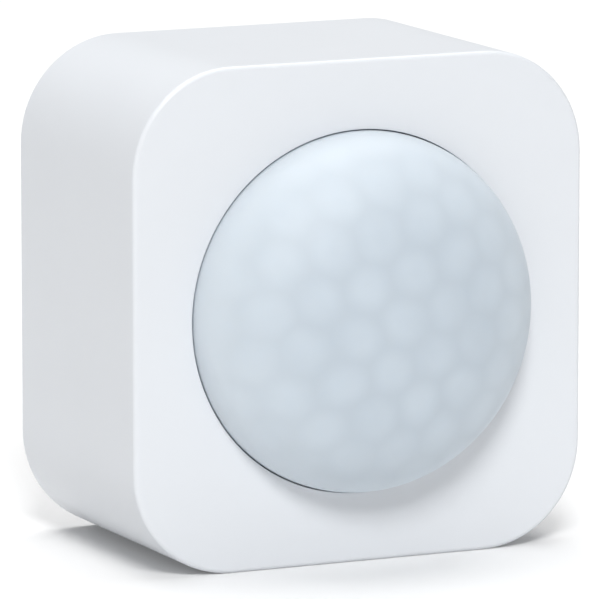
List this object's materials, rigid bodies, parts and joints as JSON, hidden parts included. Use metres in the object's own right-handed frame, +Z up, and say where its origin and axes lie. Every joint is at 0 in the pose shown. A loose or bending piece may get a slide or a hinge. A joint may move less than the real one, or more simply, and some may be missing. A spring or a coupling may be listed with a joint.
{
  "type": "motion sensor",
  "caption": "Battery passive-infrared motion sensor: rounded-square housing with a domed milky lens, hinged battery door, pairing button and slide-on wall bracket.",
  "frame": {"origin": "under the middle of the base, at the bottom centre of the bounding box", "axes": "+X to the right seen from the front, the lens faces -Y, +Z up"},
  "size_m": [0.064, 0.0524, 0.066],
  "materials": {
    "housing_plastic": "fine satin moulded surface",
    "inner_plastic": "satin",
    "lens_milky": "milky translucent polyethylene, satin outside, lenslets inside",
    "screw_steel": "nickel plated",
    "board_laminate": "solder mask",
    "chip_resin": "moulded resin",
    "shield_tin": "tin plated sheet",
    "filter_dark": "polished infrared filter",
    "contact_nickel": "nickel plated spring steel",
    "led_resin": "clear resin",
    "plunger_grey": "moulded",
    "cell_jacket": "printed film on a steel can, no print modelled",
    "lead_red": "soft insulation",
    "lead_black": "soft insulation",
    "pad_foam": "adhesive foam with a release liner"
  },
  "bodies": {
    "housing": {"front_housing": "housing_plastic", "fresnel_lens": "lens_milky", "lens_retainer": "inner_plastic", "retainer_screw_1": "screw_steel", "retainer_screw_2": "screw_steel", "retainer_screw_3": "screw_steel", "pcb_screw_1": "screw_steel", "pcb_screw_2": "screw_steel", "case_screw_1": "screw_steel", "case_screw_2": "screw_steel", "case_screw_3": "screw_steel", "case_screw_4": "screw_steel", "main_pcb": "board_laminate", "pyro_sensor": "shield_tin", "pyro_window": "filter_dark", "pyro_lead_1": "contact_nickel", "pyro_lead_2": "contact_nickel", "pyro_lead_3": "contact_nickel", "status_led": "led_resin", "light_sensor": "chip_resin", "radio_module": "board_laminate", "radio_shield": "shield_tin", "controller_chip": "chip_resin", "capacitor": "shield_tin", "switch_body": "chip_resin", "rear_housing": "housing_plastic", "battery_lower": "cell_jacket", "battery_upper": "cell_jacket", "spring_lower": "contact_nickel", "spring_upper": "contact_nickel", "contact_positive": "contact_nickel", "contact_negative": "contact_nickel", "contact_bridge": "contact_nickel", "lead_positive": "lead_red", "lead_negative": "lead_black"},
    "door": {"battery_door": "housing_plastic"},
    "button": {"pairing_button": "housing_plastic"},
    "plunger": {"switch_plunger": "plunger_grey"},
    "bracket": {"wall_bracket": "housing_plastic", "adhesive_pad": "pad_foam"}
  },
  "joints": [
    {"name": "battery_door_hinge", "type": "hinge", "parent": "housing", "child": "door", "pos_m": [0, 0.0246, 0.01375], "axis": [-1, 0, 0], "range_deg": [0, 95]},
    {"name": "pairing_button_press", "type": "slide", "parent": "housing", "child": "button", "axis": [0, -1, 0], "range_m": [0, 0.0005], "stiffness_N_per_m": 2500},
    {"name": "switch_plunger_press", "type": "slide", "parent": "housing", "child": "plunger", "axis": [0, -1, 0], "range_m": [0, 0.0005]},
    {"name": "bracket_slide", "type": "slide", "parent": "housing", "child": "bracket", "axis": [0, 0, -1], "range_m": [0, 0.0067]}
  ],
  "couplings": [
    {"joint": "switch_plunger_press", "follows": "pairing_button_press", "ratio": 1}
  ]
}
